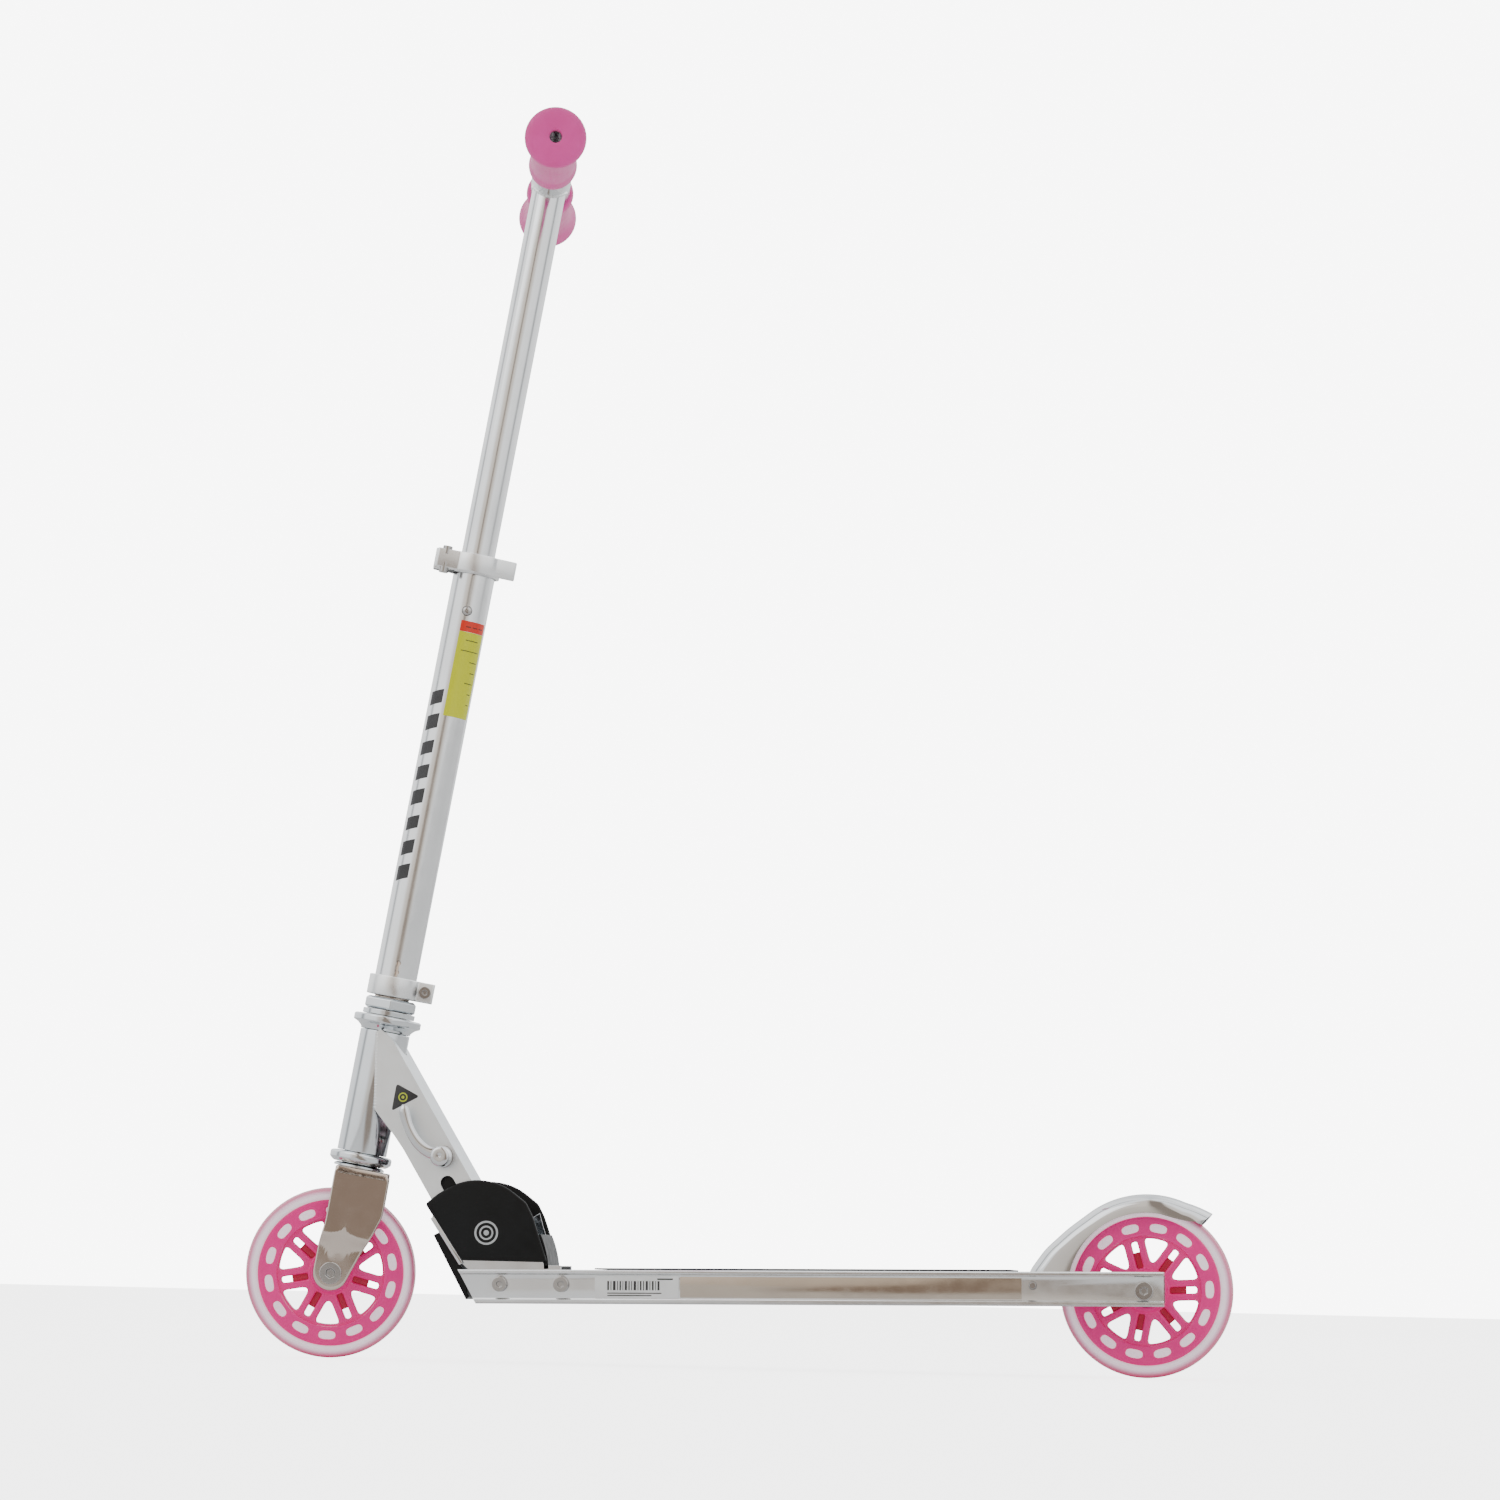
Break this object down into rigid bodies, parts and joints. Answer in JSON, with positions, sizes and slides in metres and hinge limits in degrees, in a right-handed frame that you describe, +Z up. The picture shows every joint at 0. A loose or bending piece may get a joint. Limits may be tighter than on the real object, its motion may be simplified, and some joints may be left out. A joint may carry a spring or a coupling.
{
  "type": "kick scooter",
  "caption": "Folding child's kick scooter: flat deck, leaning neck and telescopic stem with a turned handlebar, clear-tyred spoked wheels and a sprung fender brake over the rear wheel.",
  "frame": {"origin": "on the ground, under the middle of the bounding box", "axes": "+Z up, +X towards the rear wheel, +Y across the deck, to the far side as seen with the front wheel on the left"},
  "size_m": [0.6966, 0.3204, 0.8738],
  "materials": {
    "deck_aluminium": "polished, faint drawing lines",
    "grip_tape": "coarse grit",
    "neck_aluminium": "polished",
    "stem_aluminium": "polished",
    "clamp_aluminium": "satin",
    "fork_chrome": "bright",
    "head_chrome": "bright",
    "fender_chrome": "bright",
    "bracket_chrome": "bright",
    "bolt_steel": "satin",
    "black_cover": "fine grain",
    "pink_rim": "semi gloss",
    "clear_tyre": "clear urethane, pink tread",
    "pink_grip": "satin",
    "yellow_label": "printed film",
    "elastic_cord": "woven"
  },
  "bodies": {
    "deck_frame": {"deck": "deck_aluminium", "grip_tape": "grip_tape", "front_deck_bolt": "bolt_steel", "middle_deck_bolt": "bolt_steel", "rear_axle_bolt": "bolt_steel", "rear_spacer_near": "bolt_steel", "rear_spacer_far": "bolt_steel", "brake_pivot_pin": "bolt_steel", "brake_spring": "bolt_steel", "fold_bracket": "bracket_chrome", "bracket_cover_near": "black_cover", "bracket_cover_far": "black_cover", "bracket_rear_cover": "black_cover", "front_guard": "black_cover", "fold_pivot_bolt": "bolt_steel"},
    "rear_wheel": {"rear_rim": "pink_rim", "rear_tyre": "clear_tyre", "rear_bearing_near": "bolt_steel", "rear_bearing_far": "bolt_steel", "rear_spacer": "bolt_steel"},
    "brake": {"brake_fender": "fender_chrome"},
    "neck": {"neck": "neck_aluminium", "fold_lever_bolt": "bolt_steel", "fold_lever_washer": "bolt_steel", "fold_lever_spring": "bolt_steel", "head_tube": "head_chrome", "upper_cup": "head_chrome", "lower_cup": "head_chrome", "lower_head_bearing": "bolt_steel", "upper_head_bearing": "bolt_steel"},
    "lock_pin": {"lock_pin": "bolt_steel"},
    "fold_lever": {"fold_lever": "fender_chrome"},
    "steering": {"fork": "fork_chrome", "crown_race": "head_chrome", "adjusting_race": "head_chrome", "steerer_locknut": "head_chrome", "front_axle_bolt": "bolt_steel", "front_spacer_near": "bolt_steel", "front_spacer_far": "bolt_steel", "stem_tube": "stem_aluminium", "steerer_clamp": "clamp_aluminium", "steerer_clamp_bolt": "bolt_steel", "height_collar": "clamp_aluminium", "collar_bolt": "bolt_steel", "collar_cam_pin": "bolt_steel", "stem_label": "yellow_label"},
    "front_wheel": {"front_rim": "pink_rim", "front_tyre": "clear_tyre", "front_bearing_near": "bolt_steel", "front_bearing_far": "bolt_steel", "front_spacer": "bolt_steel"},
    "collar_lever": {"collar_lever": "clamp_aluminium"},
    "height_button": {"height_button": "bolt_steel"},
    "handlebar": {"inner_stem_tube": "stem_aluminium", "bar_socket": "stem_aluminium", "handle_cord": "elastic_cord"},
    "near_handle": {"handle_tube_near": "stem_aluminium", "grip_near": "pink_grip"},
    "far_handle": {"handle_tube_far": "stem_aluminium", "grip_far": "pink_grip"}
  },
  "joints": [
    {"name": "fold", "type": "hinge", "parent": "deck_frame", "child": "neck", "pos_m": [-0.177, 0, 0.082], "axis": [0, 1, 0], "range_deg": [0, 79]},
    {"name": "steering", "type": "hinge", "parent": "neck", "child": "steering", "pos_m": [-0.26189, 0, 0.18824], "axis": [0.164, 0, 0.9865], "continuous": true},
    {"name": "front_wheel_spin", "type": "hinge", "parent": "steering", "child": "front_wheel", "pos_m": [-0.2884, -0.00093, 0.06], "axis": [-0.1762, 0.9839, 0.0293], "continuous": true},
    {"name": "rear_wheel_spin", "type": "hinge", "parent": "deck_frame", "child": "rear_wheel", "pos_m": [0.2884, 0, 0.06], "axis": [0, 1, 0], "continuous": true},
    {"name": "brake_press", "type": "hinge", "parent": "deck_frame", "child": "brake", "pos_m": [0.21195, 0, 0.06197], "axis": [0, 1, 0], "range_deg": [0, 2.5], "stiffness_Nm_per_rad": 6, "springref_deg": -5.73},
    {"name": "height_slide", "type": "slide", "parent": "steering", "child": "handlebar", "axis": [0.164, 0, 0.9865], "range_m": [-0.2, 0]},
    {"name": "collar_lever_turn", "type": "hinge", "parent": "steering", "child": "collar_lever", "pos_m": [-0.21776, -0.01908, 0.56886], "axis": [0.164, 0, 0.9865], "range_deg": [-110, 0]},
    {"name": "fold_lever_turn", "type": "hinge", "parent": "neck", "child": "fold_lever", "pos_m": [-0.20625, 0, 0.14263], "axis": [0, 1, 0], "range_deg": [0, 100]},
    {"name": "height_button_press", "type": "slide", "parent": "steering", "child": "height_button", "axis": [-0.1762, 0.9839, 0.0293], "range_m": [0, 0.0025], "stiffness_N_per_m": 600, "springref_m": -0.002},
    {"name": "lock_pin_slide", "type": "slide", "parent": "neck", "child": "lock_pin", "axis": [-0.5195, 0, 0.8545], "range_m": [0, 0.008], "stiffness_N_per_m": 1500, "springref_m": -0.004},
    {"name": "near_handle_pull", "type": "slide", "parent": "handlebar", "child": "near_handle", "axis": [0.1762, -0.9839, -0.0293], "range_m": [0, 0.03], "stiffness_N_per_m": 300, "springref_m": -0.02},
    {"name": "far_handle_pull", "type": "slide", "parent": "handlebar", "child": "far_handle", "axis": [-0.1762, 0.9839, 0.0293], "range_m": [0, 0.03], "stiffness_N_per_m": 300, "springref_m": -0.02}
  ]
}
